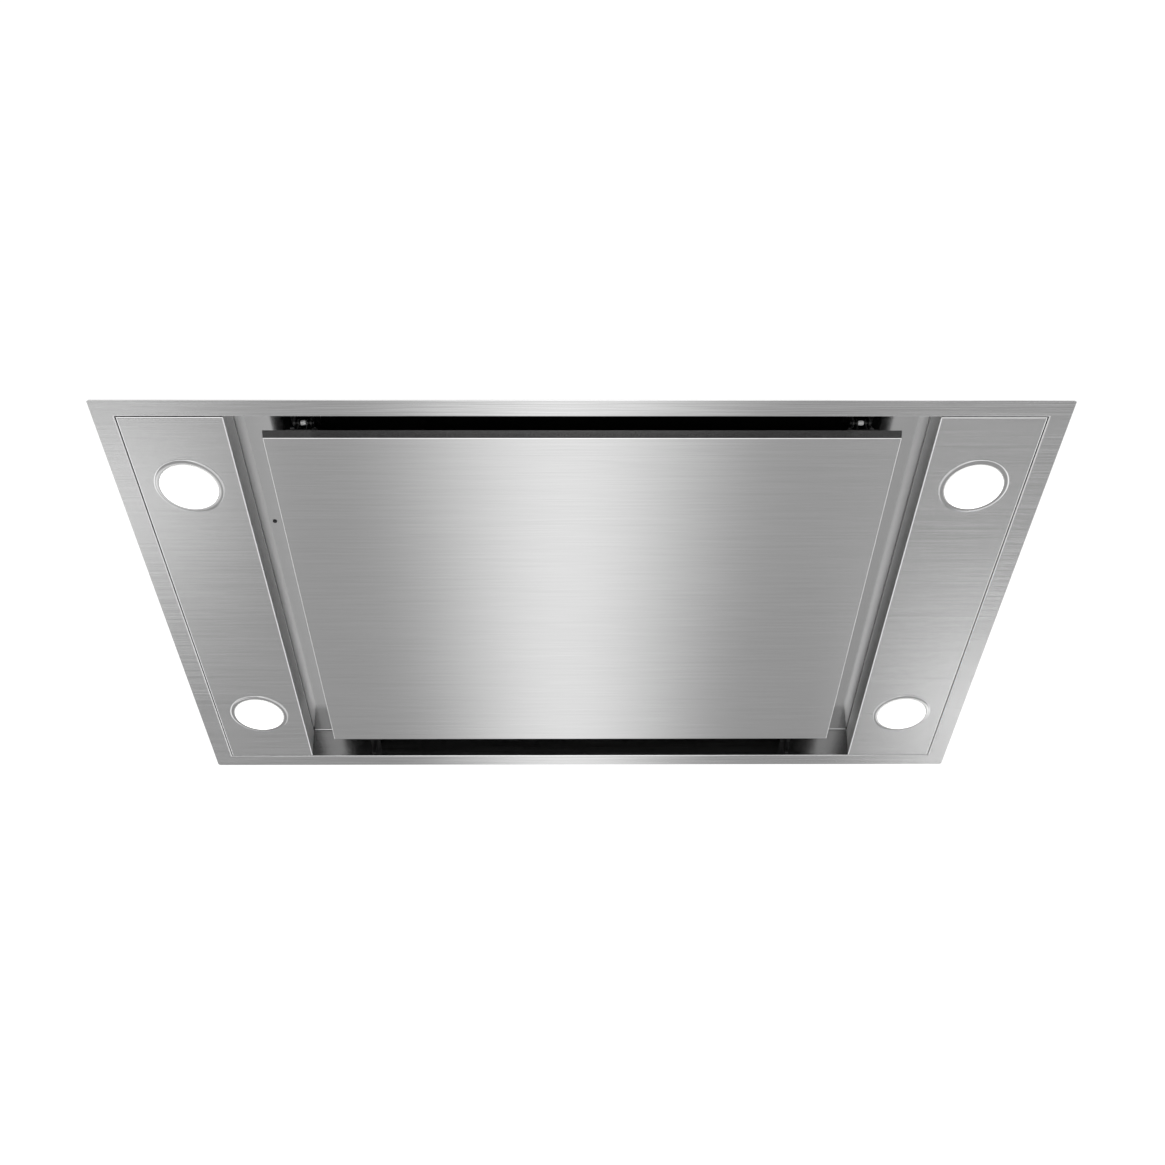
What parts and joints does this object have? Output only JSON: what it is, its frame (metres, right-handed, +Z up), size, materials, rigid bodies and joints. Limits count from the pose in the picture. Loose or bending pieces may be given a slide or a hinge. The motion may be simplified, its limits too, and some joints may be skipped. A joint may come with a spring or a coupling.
{
  "type": "ceiling range hood",
  "caption": "Flush ceiling range hood with perimeter air slots round a drop-down panel, lamp panels, grease filters, blower and duct collar.",
  "frame": {"origin": "centre of the hood in plan, at the lowest face of the lamp lenses", "axes": "+X along the long side, +Y from the panel's hinged edge to the outlet, +Z up into the ceiling"},
  "size_m": [0.9, 0.57, 0.2932],
  "materials": {
    "sheet_steel": "fine brushed stainless steel, brushed along X",
    "bezel_chrome": "polished ring",
    "lens_white": "white frosted diffuser, lit",
    "lamp_alloy": "dark anodised casting",
    "spring_steel": "bright spring strip",
    "window_dark": "dark infrared window",
    "backing_black": "black coated sheet",
    "screw_zinc": "zinc plated",
    "hinge_steel": "dark plated strip",
    "pin_steel": "ground pin",
    "nylon_white": "white nylon",
    "catch_steel": "plated strip with a magnet",
    "filter_alloy": "mill-finish channel",
    "mesh_alloy": "expanded mesh",
    "latch_plastic": "black moulded",
    "galvanised": "galvanised sheet",
    "bracket_zinc": "zinc plated strip",
    "scroll_plastic": "black moulded",
    "guard_wire": "plated wire",
    "wheel_alloy": "pressed blades",
    "shaft_steel": "ground steel",
    "motor_paint": "dark enamel",
    "rubber_black": "soft rubber",
    "collar_plastic": "black moulded",
    "flap_plastic": "black moulded",
    "control_grey": "light grey moulded",
    "board_green": "solder-masked laminate",
    "gland_black": "black nylon",
    "driver_white": "white moulded"
  },
  "bodies": {
    "housing": {"trim_frame": "sheet_steel", "lamp_panel_left": "sheet_steel", "lamp_panel_right": "sheet_steel", "recess_ceiling": "sheet_steel", "lamp_bezel_left_near": "bezel_chrome", "lamp_lens_left_near": "lens_white", "lamp_body_left_near": "lamp_alloy", "lamp_bezel_left_far": "bezel_chrome", "lamp_lens_left_far": "lens_white", "lamp_body_left_far": "lamp_alloy", "lamp_bezel_right_near": "bezel_chrome", "lamp_lens_right_near": "lens_white", "lamp_body_right_near": "lamp_alloy", "lamp_bezel_right_far": "bezel_chrome", "lamp_lens_right_far": "lens_white", "lamp_body_right_far": "lamp_alloy", "lamp_clips": "spring_steel", "receiver_window": "window_dark", "hinge_bracket_left": "hinge_steel", "hinge_bracket_right": "hinge_steel", "hinge_pin_left": "pin_steel", "hinge_pin_right": "pin_steel", "catch_left": "catch_steel", "catch_right": "catch_steel", "filter_frame_left": "filter_alloy", "filter_frame_right": "filter_alloy", "filter_mesh_left": "mesh_alloy", "filter_mesh_right": "mesh_alloy", "lower_casing": "galvanised", "upper_casing": "galvanised", "hanger_brackets": "bracket_zinc", "casing_screws": "screw_zinc", "trim_screws": "screw_zinc", "scroll_lower": "scroll_plastic", "scroll_upper": "scroll_plastic", "inlet_guard": "guard_wire", "motor": "motor_paint", "motor_bracket": "bracket_zinc", "motor_grommets": "rubber_black", "outlet_collar": "collar_plastic", "damper_rod": "pin_steel", "control_box": "control_grey", "control_board": "board_green", "control_cover": "control_grey", "cable_gland": "gland_black", "led_driver": "driver_white"},
    "panel": {"panel_skin": "sheet_steel", "panel_backing": "backing_black", "panel_screws": "screw_zinc", "hinge_leaf_left": "hinge_steel", "hinge_leaf_right": "hinge_steel", "hinge_bushes": "nylon_white", "catch_strikers": "catch_steel"},
    "latch_left": {"filter_latch_left": "latch_plastic"},
    "latch_right": {"filter_latch_right": "latch_plastic"},
    "wheel": {"impeller_wheel": "wheel_alloy", "motor_shaft": "shaft_steel"},
    "flap_left": {"damper_flap_left": "flap_plastic"},
    "flap_right": {"damper_flap_right": "flap_plastic"}
  },
  "joints": [
    {"name": "panel_swing", "type": "hinge", "parent": "housing", "child": "panel", "pos_m": [0, -0.236, 0.031], "axis": [-1, 0, 0], "range_deg": [0, 90]},
    {"name": "latch_left_slide", "type": "slide", "parent": "housing", "child": "latch_left", "axis": [0, 1, 0], "range_m": [0, 0.0065], "stiffness_N_per_m": 400, "springref_m": -0.002},
    {"name": "latch_right_slide", "type": "slide", "parent": "housing", "child": "latch_right", "axis": [0, 1, 0], "range_m": [0, 0.0065], "stiffness_N_per_m": 400, "springref_m": -0.002},
    {"name": "wheel_spin", "type": "hinge", "parent": "housing", "child": "wheel", "pos_m": [-0.0825, -0.0245, 0.1982], "axis": [0, 0, 1], "continuous": true},
    {"name": "flap_left_swing", "type": "hinge", "parent": "housing", "child": "flap_left", "pos_m": [0, 0.201, 0.1982], "axis": [0, 0, -1], "range_deg": [0, 75], "stiffness_Nm_per_rad": 0.02},
    {"name": "flap_right_swing", "type": "hinge", "parent": "housing", "child": "flap_right", "pos_m": [0, 0.201, 0.1982], "axis": [0, 0, 1], "range_deg": [0, 75], "stiffness_Nm_per_rad": 0.02}
  ]
}
